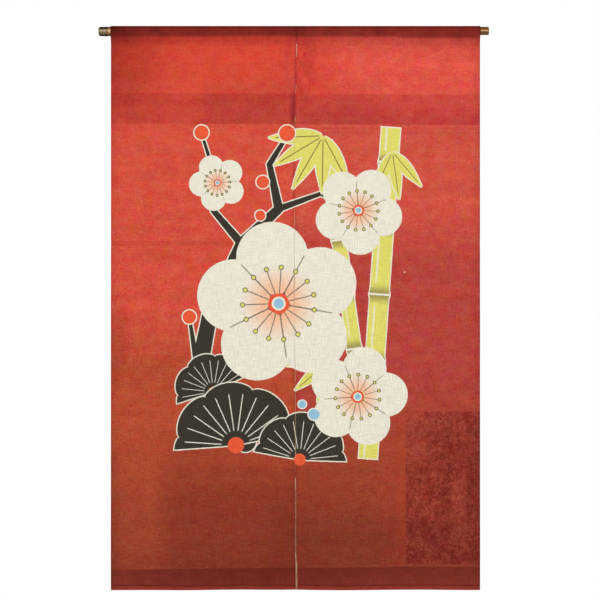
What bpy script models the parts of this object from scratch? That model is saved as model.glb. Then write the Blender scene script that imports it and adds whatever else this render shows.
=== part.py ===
"""A two-width noren curtain hung flat on a tapering bamboo pole.

Metres, +Z up. The pole runs along X and the front of the cloth faces -Y.
The origin is on the pole's axis at the middle of the cloth's width.
"""

import math

import bmesh
import bpy
from mathutils import Vector

MM = 0.001

# Cloth, as hung
CLOTH_WIDTH = 880 * MM
CLOTH_HEIGHT = 1345 * MM
CLOTH_THICK = 1.2 * MM
LAYER_GAP = 0.3 * MM
LAYER_PITCH = CLOTH_THICK + LAYER_GAP
POCKET_HEIGHT = 46 * MM
POCKET_TURN = 3 * MM
HEM_TOP = CLOTH_HEIGHT - 50 * MM
FOLD_RADIUS = LAYER_PITCH / 2
FOLD_START = CLOTH_HEIGHT - CLOTH_THICK / 2 - FOLD_RADIUS

# Bamboo pole: its upper line is level, and it tapers to the right
POLE_LEFT_END = -469 * MM
POLE_RIGHT_END = 461 * MM
POLE_RADIUS_LEFT = 11.2 * MM
POLE_RADIUS_RIGHT = 9.8 * MM
POLE_SIDES = 24
POLE_GAP = 0.3 * MM
HIDDEN_RIDGE = 0.5 * MM

# Culm nodes: place along the pole, height of the ridge
CULM_NODES = (
    {"x": -451 * MM, "height": 1.0 * MM},
    {"x": -182 * MM, "height": HIDDEN_RIDGE},
    {"x": 94 * MM, "height": HIDDEN_RIDGE},
    {"x": 362 * MM, "height": HIDDEN_RIDGE},
)

# Section of one culm node: distance from its middle, share of the ridge's height
NODE_SECTION = (
    {"along": -7 * MM, "rise": 0.0},
    {"along": -2.5 * MM, "rise": 0.45},
    {"along": 0.0, "rise": 1.0},
    {"along": 2.0 * MM, "rise": 0.6},
    {"along": 3.5 * MM, "rise": -0.5},
    {"along": 7 * MM, "rise": 0.0},
)

# Rounded tips of the pole: distance in from the end, share of the radius
LEFT_TIP = ({"in": 0.0, "share": 0.72}, {"in": 1.2 * MM, "share": 0.90}, {"in": 4 * MM, "share": 1.0})
RIGHT_TIP = ({"in": 0.0, "share": 0.86}, {"in": 1.0 * MM, "share": 0.97}, {"in": 3 * MM, "share": 1.0})

# Line where the two widths meet: drop below the top edge, place right of the middle, gap between them
MEETING_LINE = (
    {"drop": 0 * MM, "x": 2.1 * MM, "gap": 0.5 * MM},
    {"drop": 57 * MM, "x": 1.9 * MM, "gap": 0.6 * MM},
    {"drop": 88 * MM, "x": -1.2 * MM, "gap": 0.4 * MM},
    {"drop": 130 * MM, "x": -1.2 * MM, "gap": 0.4 * MM},
    {"drop": 175 * MM, "x": -4.3 * MM, "gap": 0.5 * MM},
    {"drop": 440 * MM, "x": -3.7 * MM, "gap": 0.5 * MM},
    {"drop": 587 * MM, "x": -3.6 * MM, "gap": 0.7 * MM},
    {"drop": 630 * MM, "x": -4.5 * MM, "gap": 1.7 * MM},
    {"drop": 790 * MM, "x": -1.7 * MM, "gap": 1.4 * MM},
    {"drop": 1045 * MM, "x": -0.7 * MM, "gap": 0.5 * MM},
    {"drop": 1090 * MM, "x": -0.7 * MM, "gap": 0.9 * MM},
    {"drop": 1255 * MM, "x": -0.6 * MM, "gap": 0.9 * MM},
    {"drop": 1300 * MM, "x": 1.7 * MM, "gap": 1.1 * MM},
    {"drop": 1345 * MM, "x": 1.8 * MM, "gap": 1.1 * MM},
)

# Soft folds down each width: waves across it, phase in turns, depth at the hem
LEFT_FOLDS = (
    {"waves": 0.8, "phase": 0.10, "depth": 2.8 * MM},
    {"waves": 2.1, "phase": 0.55, "depth": 1.5 * MM},
)
RIGHT_FOLDS = (
    {"waves": 0.9, "phase": 0.62, "depth": 2.6 * MM},
    {"waves": 1.7, "phase": 0.20, "depth": 1.7 * MM},
)

# Creases across both widths: drop below the top edge, depth, half width
CREASES = (
    {"drop": 200 * MM, "depth": 0.6 * MM, "half": 24 * MM},
    {"drop": 520 * MM, "depth": 1.6 * MM, "half": 22 * MM},
    {"drop": 1333 * MM, "depth": 0.5 * MM, "half": 7 * MM},
)
FOLDS_START = 70 * MM
EDGE_CURL = 3.0 * MM
EDGE_CURL_WIDTH = 45 * MM
EDGE_CURL_START = 560 * MM

# Grid of each sheet
COLUMNS = 14
OVER_STEPS = 10
POCKET_STEPS = 5
ROW_PITCH = 44 * MM
ROW_CLEARANCE = 12 * MM
FOLD_STEPS = 4

CLOTH_COLOUR = (0.46, 0.052, 0.033, 1.0)
BAMBOO_COLOUR = (0.23, 0.115, 0.035, 1.0)


def clear_scene():
    for item in list(bpy.data.objects):
        bpy.data.objects.remove(item)


def material(name, colour, roughness):
    made = bpy.data.materials.new(name)
    made.use_nodes = True
    shader = made.node_tree.nodes["Principled BSDF"]
    shader.inputs["Base Color"].default_value = colour
    shader.inputs["Roughness"].default_value = roughness
    shader.inputs["Metallic"].default_value = 0.0
    return made


def ease(value):
    value = min(max(value, 0.0), 1.0)
    return value * value * (3 - 2 * value)


def between(table, key, value, place):
    """Read a column of a table at a place along it, eased from row to row."""
    for low, high in zip(table, table[1:]):
        if place <= high[key]:
            share = ease((place - low[key]) / (high[key] - low[key]))
            return low[value] + (high[value] - low[value]) * share
    return table[-1][value]


def plain_pole_radius(x):
    share = (x - POLE_LEFT_END) / (POLE_RIGHT_END - POLE_LEFT_END)
    return POLE_RADIUS_LEFT + (POLE_RADIUS_RIGHT - POLE_RADIUS_LEFT) * share


POLE_TOP = plain_pole_radius(0.0)
CLOTH_TOP = POLE_TOP + HIDDEN_RIDGE + POLE_GAP + CLOTH_THICK


def pole_stations():
    """Stations along the pole as x and radius, from its left end to its right end."""
    stations = []
    for row in LEFT_TIP:
        x = POLE_LEFT_END + row["in"]
        stations.append((x, plain_pole_radius(x) * row["share"]))
    for node in CULM_NODES:
        for row in NODE_SECTION:
            x = node["x"] + row["along"]
            stations.append((x, plain_pole_radius(x) + node["height"] * row["rise"]))
    for row in reversed(RIGHT_TIP):
        x = POLE_RIGHT_END - row["in"]
        stations.append((x, plain_pole_radius(x) * row["share"]))
    return stations


def make_pole():
    mesh = bmesh.new()
    rings = []
    for x, radius in pole_stations():
        middle = POLE_TOP - plain_pole_radius(x)
        ring = []
        for side in range(POLE_SIDES):
            turn = 2 * math.pi * side / POLE_SIDES
            ring.append(mesh.verts.new((x, radius * math.sin(turn), middle + radius * math.cos(turn))))
        rings.append(ring)
    for ring, following in zip(rings, rings[1:]):
        for side in range(POLE_SIDES):
            onward = (side + 1) % POLE_SIDES
            mesh.faces.new((ring[side], following[side], following[onward], ring[onward]))
    mesh.faces.new(rings[0])
    mesh.faces.new(reversed(rings[-1]))
    bmesh.ops.recalc_face_normals(mesh, faces=mesh.faces)
    add_object("rod", mesh, material("bamboo", BAMBOO_COLOUR, 0.45))


def pocket_path(x):
    """Middle of the cloth from the back of the pocket's stitch line, over the pole, to its front."""
    half_step = math.pi / OVER_STEPS / 2
    radius = (plain_pole_radius(x) + HIDDEN_RIDGE + POLE_GAP + CLOTH_THICK / 2) / math.cos(half_step)
    middle = CLOTH_TOP - CLOTH_THICK / 2 - radius
    stitch = CLOTH_TOP - POCKET_HEIGHT
    drop = middle - stitch
    points = [Vector((LAYER_PITCH / 2, stitch - POCKET_TURN))]
    # Each side of the pocket is one smooth run from the pole's side in to the stitch line
    run = []
    for step in range(POCKET_STEPS):
        share = step / POCKET_STEPS
        y = LAYER_PITCH / 2 + (radius - LAYER_PITCH / 2) * ease(share)
        run.append(Vector((y, stitch + drop * share)))
    points += run
    for step in range(OVER_STEPS + 1):
        turn = math.pi * step / OVER_STEPS
        points.append(Vector((radius * math.cos(turn), middle + radius * math.sin(turn))))
    points += [Vector((-point.x, point.y)) for point in reversed(run)]
    return points


def row_drops():
    """Drops below the top edge of the rows from the pocket to the hem's fold, three at each crease."""
    kept = [HEM_TOP]
    for crease in CREASES:
        kept += [crease["drop"] - crease["half"], crease["drop"], crease["drop"] + crease["half"]]
    length = FOLD_START - POCKET_HEIGHT
    rows = round(length / ROW_PITCH)
    drops = []
    for row in range(1, rows):
        drop = POCKET_HEIGHT + length * row / rows
        if min(abs(drop - other) for other in kept) > ROW_CLEARANCE:
            drops.append(drop)
    return sorted(drops + kept) + [FOLD_START]


def hanging_path():
    """Middle of the cloth from below the pocket, down the front, round the hem and up behind it."""
    front = -LAYER_PITCH / 2
    drops = row_drops()
    points = [Vector((front, CLOTH_TOP - drop)) for drop in drops]
    for step in range(1, FOLD_STEPS):
        turn = math.pi * step / FOLD_STEPS
        y = front + FOLD_RADIUS * (1 - math.cos(turn))
        points.append(Vector((y, CLOTH_TOP - FOLD_START - FOLD_RADIUS * math.sin(turn))))
    for drop in reversed(drops):
        if drop >= HEM_TOP:
            points.append(Vector((front + LAYER_PITCH, CLOTH_TOP - drop)))
    return points


def sway(x, drop, inner, outer, folds):
    """How far a point of the cloth stands off the flat, towards +Y."""
    across = (x - inner) / (outer - inner)
    grown = ease((drop - FOLDS_START) / (CLOTH_HEIGHT - FOLDS_START))
    out = 0.0
    for fold in folds:
        out += grown * fold["depth"] * math.sin(2 * math.pi * (fold["waves"] * across + fold["phase"]))
    for crease in CREASES:
        out += crease["depth"] * (1 - ease(abs(drop - crease["drop"]) / crease["half"]))
    curl = ease((drop - EDGE_CURL_START) / (CLOTH_HEIGHT - EDGE_CURL_START))
    near_edge = 1 - abs(x - inner) / EDGE_CURL_WIDTH
    return out + EDGE_CURL * curl * ease(near_edge)


def make_panel(name, side, folds, cloth):
    """One width of cloth; side is -1 for the left width and 1 for the right."""
    mesh = bmesh.new()
    outer = side * CLOTH_WIDTH / 2
    columns = []
    for column in range(COLUMNS + 1):
        share = column / COLUMNS
        column_x = outer * share
        line = []
        for point in pocket_path(column_x) + hanging_path():
            drop = CLOTH_TOP - point.y
            meeting = between(MEETING_LINE, "drop", "x", drop)
            inner = meeting + side * between(MEETING_LINE, "drop", "gap", drop) / 2
            x = inner + (outer - inner) * share
            y = point.x + sway(x, drop, inner, outer, folds)
            line.append(mesh.verts.new((x, y, point.y)))
        columns.append(line)
    for line, following in zip(columns, columns[1:]):
        for row in range(len(line) - 1):
            mesh.faces.new((line[row], line[row + 1], following[row + 1], following[row]))
    bmesh.ops.recalc_face_normals(mesh, faces=mesh.faces)
    sheet = add_object(name, mesh, cloth)
    thickness = sheet.modifiers.new("cloth thickness", "SOLIDIFY")
    thickness.thickness = CLOTH_THICK
    thickness.offset = 0.0
    thickness.use_even_offset = True
    thickness.use_quality_normals = True


def add_object(name, mesh, finish):
    data = bpy.data.meshes.new(name)
    mesh.to_mesh(data)
    mesh.free()
    data.shade_smooth()
    data.set_sharp_from_angle(angle=math.radians(40))
    data.materials.append(finish)
    made = bpy.data.objects.new(name, data)
    bpy.context.scene.collection.objects.link(made)
    return made


def main():
    clear_scene()
    cloth = material("dyed_cloth", CLOTH_COLOUR, 0.9)
    make_panel("panel_left", -1, LEFT_FOLDS, cloth)
    make_panel("panel_right", 1, RIGHT_FOLDS, cloth.copy())
    make_pole()


main()
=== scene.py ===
import math

import bmesh
import bpy
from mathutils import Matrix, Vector, noise


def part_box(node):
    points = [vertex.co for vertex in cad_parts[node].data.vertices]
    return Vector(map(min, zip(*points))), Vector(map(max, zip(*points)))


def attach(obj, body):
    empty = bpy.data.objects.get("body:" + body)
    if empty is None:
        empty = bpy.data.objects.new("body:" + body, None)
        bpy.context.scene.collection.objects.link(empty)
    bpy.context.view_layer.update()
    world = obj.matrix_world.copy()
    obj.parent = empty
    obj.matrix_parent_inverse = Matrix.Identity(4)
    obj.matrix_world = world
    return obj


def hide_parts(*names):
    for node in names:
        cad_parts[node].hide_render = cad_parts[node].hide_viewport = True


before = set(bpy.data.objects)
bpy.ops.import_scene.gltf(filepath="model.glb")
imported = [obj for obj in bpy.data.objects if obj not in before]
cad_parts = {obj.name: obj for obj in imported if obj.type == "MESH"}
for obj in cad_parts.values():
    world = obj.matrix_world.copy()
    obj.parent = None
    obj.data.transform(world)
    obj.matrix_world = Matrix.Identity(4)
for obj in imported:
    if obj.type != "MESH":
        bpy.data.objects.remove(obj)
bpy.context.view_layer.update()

MM = 0.001


def in_metres(*rows):
    """Rows of lengths that are given in millimetres."""
    return [[value * MM for value in row] for row in rows]


# The cloth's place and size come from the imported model
left_low, left_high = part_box("panel_left")
_, right_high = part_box("panel_right")
pole_low, pole_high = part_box("rod")
CLOTH_TOP = left_high.z
CLOTH_LOW = left_low.z
CLOTH_WIDTH = right_high.x - left_low.x
CLOTH_HEIGHT = CLOTH_TOP - CLOTH_LOW

# Cloth
CLOTH_THICK = 0.8 * MM
LAYER_PITCH = 1.1 * MM
POCKET_HEIGHT = 46 * MM
POCKET_TURN = 3 * MM
HEM_TOP = CLOTH_HEIGHT - 50 * MM
FOLD_RADIUS = LAYER_PITCH / 2
FOLD_START = CLOTH_HEIGHT - CLOTH_THICK / 2 - FOLD_RADIUS
SEWN_START = 50 * MM
SEWN_END = 440 * MM

# Bamboo pole
POLE_RADIUS_LEFT = 11.2 * MM
POLE_RADIUS_RIGHT = 9.8 * MM
LEFT_RIDGE = 0.6 * MM
HIDDEN_RIDGE = 0.5 * MM
POLE_GAP = 0.3 * MM

# Culm nodes: place along the pole, height of the ridge
CULM_NODES = (
    (-451 * MM, LEFT_RIDGE),
    (-182 * MM, HIDDEN_RIDGE),
    (94 * MM, HIDDEN_RIDGE),
    (362 * MM, HIDDEN_RIDGE),
)

# Section of one culm node: distance from its middle, share of the ridge's height
NODE_SECTION = (
    (-7 * MM, 0.0),
    (-4.5 * MM, 0.15),
    (-2.5 * MM, 0.45),
    (-1.0 * MM, 0.85),
    (0.0, 1.0),
    (1.0 * MM, 0.92),
    (2.0 * MM, 0.6),
    (2.6 * MM, -0.1),
    (3.2 * MM, -0.55),
    (4.2 * MM, -0.35),
    (7 * MM, 0.0),
)

# Line where the two widths meet: drop below the top edge, place right of the middle, gap between them
MEETING_LINE = in_metres(
    (0, 2.1, 0.04),
    (42, 2.0, 0.04),
    (56, 1.3, 0.08),
    (72, 1.2, 0.04),
    (100, 0.5, 0.04),
    (140, 0.2, 0.04),
    (151, -0.5, 0.08),
    (163, -1.2, 0.04),
    (215, -1.3, 0.04),
    (228, -2.6, 0.04),
    (436, -3.5, 0.04),
    (450, -3.2, 0.06),
    (587, -3.5, 0.08),
    (630, -4.5, 0.15),
    (700, -4.0, 0.12),
    (790, -2.6, 0.08),
    (860, -1.3, 0.05),
    (1020, -1.2, 0.05),
    (1255, -1.1, 0.06),
    (1290, 0.2, 0.1),
    (1335, 0.3, 0.08),
    (1345, 0.3, 0.06),
)

# Soft folds down each width: waves across it, phase in turns, depth at the hem
LEFT_FOLDS = ((0.8, 0.10, 2.8 * MM), (2.1, 0.55, 1.5 * MM))
RIGHT_FOLDS = ((0.9, 0.62, 2.6 * MM), (1.7, 0.20, 1.7 * MM))

# Creases across both widths: drop below the top edge, depth, half width
CREASES = in_metres((200, 0.6, 24), (520, 1.6, 22), (1333, 0.5, 7))

FOLDS_START = 70 * MM
EDGE_CURL = 3.0 * MM
EDGE_CURL_WIDTH = 45 * MM
EDGE_CURL_START = 560 * MM

# Grid of each sheet, with closer columns beside the inner selvedge
COLUMNS = 96
SELVEDGE_COLUMNS = (0.0, 0.0008, 0.0016, 0.003, 0.006)
OVER_STEPS = 24
POCKET_STEPS = 12
ROW_PITCH = 7 * MM
FOLD_STEPS = 8
HEM_STEPS = 12

# Photo's frame, in its own pixels
PHOTO_SIZE = 600
PHOTO_CLOTH_LEFT = 111
PHOTO_CLOTH_RIGHT = 480
PHOTO_CLOTH_TOP = 26
PIXEL = CLOTH_WIDTH / (PHOTO_CLOTH_RIGHT - PHOTO_CLOTH_LEFT)


def ease(value):
    value = min(max(value, 0.0), 1.0)
    return value * value * (3 - 2 * value)


def meeting_line(drop):
    """Middle of the line between the widths and its gap, eased from row to row of its table."""
    for low, high in zip(MEETING_LINE, MEETING_LINE[1:]):
        if drop <= high[0]:
            share = ease((drop - low[0]) / (high[0] - low[0]))
            return [low[column] + (high[column] - low[column]) * share for column in (1, 2)]
    return MEETING_LINE[-1][1:]


# Shader arithmetic


class Wire:
    """A number, point or colour in the node tree being made; arithmetic on it adds Math nodes."""

    tree = None

    def __init__(self, socket):
        self.socket = socket

    def __add__(self, other):
        return calculate("ADD", self, other)

    def __sub__(self, other):
        return calculate("SUBTRACT", self, other)

    def __rsub__(self, other):
        return calculate("SUBTRACT", other, self)

    def __mul__(self, other):
        return calculate("MULTIPLY", self, other)

    def __truediv__(self, other):
        return calculate("DIVIDE", self, other)

    def __abs__(self):
        return calculate("ABSOLUTE", self)


def add_node(kind, **settings):
    node = Wire.tree.nodes.new("ShaderNode" + kind)
    for key, value in settings.items():
        setattr(node, key, value)
    return node


def feed(socket, value):
    if isinstance(value, Wire):
        Wire.tree.links.new(value.socket, socket)
    else:
        socket.default_value = value


def calculate(operation, *values):
    node = add_node("Math", operation=operation)
    for socket, value in zip(node.inputs, values):
        feed(socket, value)
    return Wire(node.outputs[0])


def least(one, other):
    return calculate("MINIMUM", one, other)


def most(one, other):
    return calculate("MAXIMUM", one, other)


def zigzag(value, reach):
    """Nothing at nothing, up to reach at reach, and back down again, over and over."""
    return calculate("PINGPONG", value, reach)


def root(value):
    return calculate("SQRT", value)


def spread_over(value, low, high, start, end):
    node = add_node("MapRange", interpolation_type="SMOOTHSTEP")
    settings = {"Value": value, "From Min": low, "From Max": high, "To Min": start, "To Max": end}
    for name, number in settings.items():
        feed(node.inputs[name], number)
    return Wire(node.outputs["Result"])


def rise(value, low, high):
    """Nothing up to low, one from high on."""
    return spread_over(value, low, high, 0.0, 1.0)


def fall(value, low, high):
    """One up to low, nothing from high on."""
    return spread_over(value, low, high, 1.0, 0.0)


def near(value, middle, half):
    """One at the middle, and nothing half away from it."""
    return fall(abs(value - middle), 0.0, half)


def vector_math(operation, first, second=(0, 0, 0), scale=None, output=0):
    node = add_node("VectorMath", operation=operation)
    feed(node.inputs[0], first)
    if scale is None:
        feed(node.inputs[1], second)
    else:
        feed(node.inputs["Scale"], scale)
    return Wire(node.outputs[output])


def length(vector):
    return vector_math("LENGTH", vector, output="Value")


def parts(vector):
    node = add_node("SeparateXYZ")
    feed(node.inputs[0], vector)
    return [Wire(output) for output in node.outputs]


def point_at(x, y, z=0.0):
    node = add_node("CombineXYZ")
    for socket, value in zip(node.inputs, (x, y, z)):
        feed(socket, value)
    return Wire(node.outputs[0])


def cloud(vector, scale, detail=2.0, roughness=0.5, curl=0.0):
    """Noise from nothing to one; scale is clouds a metre along each axis, curl winds them into swirls."""
    stretched = vector_math("MULTIPLY", vector, scale)
    node = add_node("TexNoise")
    feed(node.inputs["Vector"], stretched)
    node.inputs["Scale"].default_value = 1.0
    node.inputs["Detail"].default_value = detail
    node.inputs["Roughness"].default_value = roughness
    node.inputs["Distortion"].default_value = curl
    return Wire(node.outputs[0])


def paint(ground, colour, cover):
    """Lay a colour over the ground where it is covered."""
    node = add_node("Mix", data_type="RGBA")
    feed(node.inputs[0], cover)
    for socket, value in ((node.inputs[6], ground), (node.inputs[7], colour)):
        feed(socket, value if isinstance(value, Wire) else (*value, 1.0))
    return Wire(node.outputs[2])


def shade(colour, factor):
    return vector_math("SCALE", colour, scale=factor)


def new_material(name):
    material = bpy.data.materials.new(name)
    material.use_nodes = True
    Wire.tree = material.node_tree
    return material, material.node_tree.nodes["Principled BSDF"]


def bump(height, strength, distance):
    node = add_node("Bump")
    node.inputs["Strength"].default_value = strength
    node.inputs["Distance"].default_value = distance
    feed(node.inputs["Height"], height)
    return Wire(node.outputs[0])


# Dyed design: plum, pine and bamboo, a traditional group of plants

WHITE = (0.84, 0.80, 0.66)
INK = (0.047, 0.041, 0.031)
YELLOW = (0.75, 0.70, 0.15)
VERMILION = (0.82, 0.11, 0.045)
PEACH = (0.95, 0.47, 0.26)
BLUE = (0.30, 0.54, 0.68)
GREY = (0.20, 0.17, 0.13)
BROWN = (0.24, 0.17, 0.07)
RESIST_LINE = 2.7 * MM
DYE_EDGE = 1.3 * MM

CULMS = (
    {"x": 200 * MM, "drop": 640 * MM, "turn": -4, "width": 44 * MM, "joint": 158 * MM,
     "low": -392 * MM, "high": 398 * MM},
    {"x": 122 * MM, "drop": 640 * MM, "turn": 8, "width": 32 * MM, "joint": 131 * MM,
     "low": -330 * MM, "high": 368 * MM},
)
LEAF_FANS = (
    {"x": 66 * MM, "drop": 262 * MM, "turn": -30, "size": 150 * MM, "step": 29, "leaves": 5},
    {"x": 231 * MM, "drop": 300 * MM, "turn": 8, "size": 118 * MM, "step": 32, "leaves": 3},
    {"x": 92 * MM, "drop": 790 * MM, "turn": -50, "size": 126 * MM, "step": 30, "leaves": 3},
)
PINE_FANS = (
    {"x": -196 * MM, "drop": 872 * MM, "turn": 22, "size": 92 * MM},
    {"x": -142 * MM, "drop": 1000 * MM, "turn": 8, "size": 150 * MM},
    {"x": 10 * MM, "drop": 1034 * MM, "turn": -6, "size": 112 * MM},
)
BLOSSOMS = (
    {"x": -40 * MM, "drop": 662 * MM, "turn": 8, "size": 196 * MM},
    {"x": 150 * MM, "drop": 440 * MM, "turn": 40, "size": 106 * MM},
    {"x": 148 * MM, "drop": 884 * MM, "turn": -14, "size": 120 * MM},
    {"x": -186 * MM, "drop": 374 * MM, "turn": 22, "size": 68 * MM},
)

# Buds: place right of the middle, drop, radius
RED_BUDS = in_metres((-224, 254, 17), (-20, 256, 19), (-78, 372, 15), (-84, 452, 12), (-253, 694, 16))
BLUE_BUDS = in_metres((44, 926, 13), (16, 902, 9))

# Branches from root to tip: place right of the middle, drop, half width
BRANCHES = (
    in_metres((-120, 990, 26), (-232, 830, 21), (-205, 690, 18), (-128, 520, 15), (-40, 436, 11),
              (-62, 330, 7), (-24, 268, 5)),
    in_metres((-128, 520, 10), (-196, 440, 7), (-188, 372, 5), (-222, 262, 3.5)),
    in_metres((-40, 436, 8), (60, 400, 5), (140, 440, 4)),
    in_metres((-232, 830, 8), (-252, 700, 4)),
)


def within(distance):
    """Cover of a shape from the distance to its edge, in metres, less than nothing inside it."""
    return fall(distance, -DYE_EDGE / 2, DYE_EDGE / 2)


def outlined(ground, colour, distance):
    """A dyed shape with the pale line that the resist paste leaves round it."""
    ground = paint(ground, WHITE, within(distance - RESIST_LINE))
    return paint(ground, colour, within(distance))


def placed(point, row, size=1.0):
    """The point as seen from a motif's own middle, turn and size."""
    node = add_node("Mapping", vector_type="TEXTURE")
    feed(node.inputs["Vector"], point)
    node.inputs["Location"].default_value = (row["x"], -row["drop"], 0)
    node.inputs["Rotation"].default_value = (0, 0, math.radians(row.get("turn", 0)))
    node.inputs["Scale"].default_value = (size, size, 1)
    return Wire(node.outputs[0])


def dye_culm(ground, point, row):
    """A straight bamboo culm with swollen joints, shaded beside each of them."""
    x, y, _ = parts(placed(point, row))
    joint = zigzag(y, row["joint"] / 2)
    swelling = fall(joint, 0.0, 14 * MM) * (2.2 * MM)
    side = abs(x) - swelling - row["width"] / 2
    distance = most(side, most(row["low"] - y, y - row["high"]))
    ground = outlined(ground, YELLOW, distance)
    cover = within(distance)
    ground = paint(ground, BROWN, fall(joint, 3 * MM, 27 * MM) * cover * 0.72)
    ground = paint(ground, WHITE, within(most(joint - 2.4 * MM, distance)))
    streak = within(abs(x + row["width"] * 0.22) - row["width"] * 0.05)
    return paint(ground, WHITE, streak * rise(joint, 22 * MM, 34 * MM) * cover * 0.8)


def dye_leaf_fan(ground, point, row):
    """Pointed leaves that hang from one joint, each with a brown midrib."""
    x, y, _ = parts(placed(point, row, row["size"]))
    reach = length(point_at(x, y))
    step = math.radians(row["step"])
    turn = calculate("ARCTAN2", x, y * -1.0)
    most_turns = (row["leaves"] - 1) / 2
    nearest = most(least(calculate("ROUND", turn / step), most_turns), -most_turns)
    off = turn - nearest * step
    along = reach * calculate("COSINE", off) * (abs(nearest) * 0.06 + 1)
    across = abs(reach * calculate("SINE", off))
    half = calculate("SINE", calculate("POWER", along, 0.75) * math.pi) * 0.118
    distance = (across - half) * row["size"]
    reached = rise(along, 0.0, 0.03) * fall(along, 0.97, 1.0)
    ground = paint(ground, WHITE, within(distance - RESIST_LINE) * reached)
    ground = paint(ground, YELLOW, within(distance) * reached)
    midrib = within((across - 0.008) * row["size"]) * rise(along, 0.05, 0.09) * fall(along, 0.82, 0.88)
    return paint(ground, BROWN, midrib)


def dye_pine_fan(ground, point, row):
    """A half-round pine clump with a scalloped edge and pale needles."""
    lobes = 7
    needles = 11
    spread = math.radians(172)
    x, y, _ = parts(placed(point, row, row["size"]))
    reach = length(point_at(x, y))
    turn = calculate("ARCTAN2", x, y)
    lobe = abs(calculate("COSINE", turn * (lobes * math.pi / 2 / spread)))
    edge = root(lobe) * 0.10 + 0.90
    distance = most(reach - edge, (abs(turn) - spread / 2) * reach) * row["size"]
    ground = outlined(ground, INK, distance)
    off_needle = zigzag(turn, spread / needles / 2) * reach
    needle = within((off_needle - 0.007) * row["size"])
    needle = needle * rise(reach, 0.22, 0.25) * fall(reach, 0.80, 0.83) * within(distance)
    ground = paint(ground, WHITE, needle)
    return paint(ground, VERMILION, within((reach - 0.13) * row["size"]))


def limb(point, start, end):
    """Distance to the edge of one tapering stretch of branch."""
    foot = Vector((start[0], -start[1], 0))
    run = Vector((end[0], -end[1], 0)) - foot
    offset = vector_math("SUBTRACT", point, foot)
    along = vector_math("DOT_PRODUCT", offset, run / run.length_squared, output="Value")
    share = most(least(along, 1.0), 0.0)
    away = length(vector_math("SUBTRACT", offset, vector_math("SCALE", run, scale=share)))
    return away - share * (end[2] - start[2]) - start[2]


def dye_branches(ground, point):
    """Knotty black plum branches."""
    distance = 1.0
    for line in BRANCHES:
        for start, end in zip(line, line[1:]):
            distance = least(limb(point, start, end), distance)
    return outlined(ground, INK, distance)


def dye_blossoms(ground, point, rows):
    """White plum blossoms that stand clear of each other, so one drawing serves whichever is near."""
    petals = 5
    stamens = 15
    place = (0, 0, 0)
    size = 0.0
    for row in rows:
        from_here = placed(point, row, row["size"])
        chosen = calculate("LESS_THAN", length(from_here), 1.05)
        place = vector_math("ADD", vector_math("SCALE", from_here, scale=chosen), place)
        size = chosen * row["size"] + size
    chosen = rise(size, 0.0, 10 * MM)
    x, y, _ = parts(place)
    reach = length(place)
    turn = calculate("ARCTAN2", x, y)
    fold = zigzag(turn, math.pi / petals)
    middle = 0.56
    rounding = 0.44
    squared = reach * reach - reach * calculate("COSINE", fold) * (2 * middle) + middle * middle
    petal = within((root(squared) - rounding) * size) * chosen
    ground = paint(ground, WHITE, petal)
    ground = paint(ground, PEACH, fall(reach, 0.14, 0.52) * petal * 0.85)
    division = abs(reach * calculate("SINE", math.pi / petals - fold))
    line = within((division - 0.008) * size) * rise(reach, 0.14, 0.16) * fall(reach, 0.64, 0.68)
    ground = paint(ground, GREY, line * petal * 0.8)
    off = zigzag(turn + math.pi / stamens, math.pi / stamens)
    aside = reach * calculate("SINE", off)
    along = reach * calculate("COSINE", off)
    thread = within((aside - 0.0065) * size) * rise(reach, 0.1, 0.12) * fall(reach, 0.40, 0.42)
    ground = paint(ground, GREY, thread * chosen)
    tip = (length(point_at(along - 0.44, aside)) - 0.022) * size
    ground = paint(ground, INK, within(tip - 1.8 * MM) * chosen)
    ground = paint(ground, YELLOW, within(tip) * chosen)
    for radius, colour in ((0.125, VERMILION), (0.085, WHITE), (0.06, BLUE)):
        ground = paint(ground, colour, within((reach - radius) * size) * chosen)
    return ground


def make_design():
    """The whole design as one node group, from a ground colour to the colour with the dyed plants on it."""
    group = bpy.data.node_groups.new("dyed plants", "ShaderNodeTree")
    group.interface.new_socket("Point", in_out="INPUT", socket_type="NodeSocketVector")
    group.interface.new_socket("Ground", in_out="INPUT", socket_type="NodeSocketColor")
    group.interface.new_socket("Colour", in_out="OUTPUT", socket_type="NodeSocketColor")
    Wire.tree = group
    entry = group.nodes.new("NodeGroupInput")
    point, ground = Wire(entry.outputs["Point"]), Wire(entry.outputs["Ground"])
    for row in CULMS:
        ground = dye_culm(ground, point, row)
    ground = dye_branches(ground, point)
    for row in LEAF_FANS:
        ground = dye_leaf_fan(ground, point, row)
    for row in PINE_FANS:
        ground = dye_pine_fan(ground, point, row)
    ground = dye_blossoms(ground, point, BLOSSOMS[:1])
    ground = dye_blossoms(ground, point, BLOSSOMS[1:])
    for colour, buds in ((VERMILION, RED_BUDS), (BLUE, BLUE_BUDS)):
        for x, drop, radius in buds:
            distance = vector_math("DISTANCE", point, (x, -drop, 0), output="Value") - radius
            ground = outlined(ground, colour, distance)
    feed(group.nodes.new("NodeGroupOutput").inputs["Colour"], ground)
    return group


# Cloth's dye and painted shade

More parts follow.
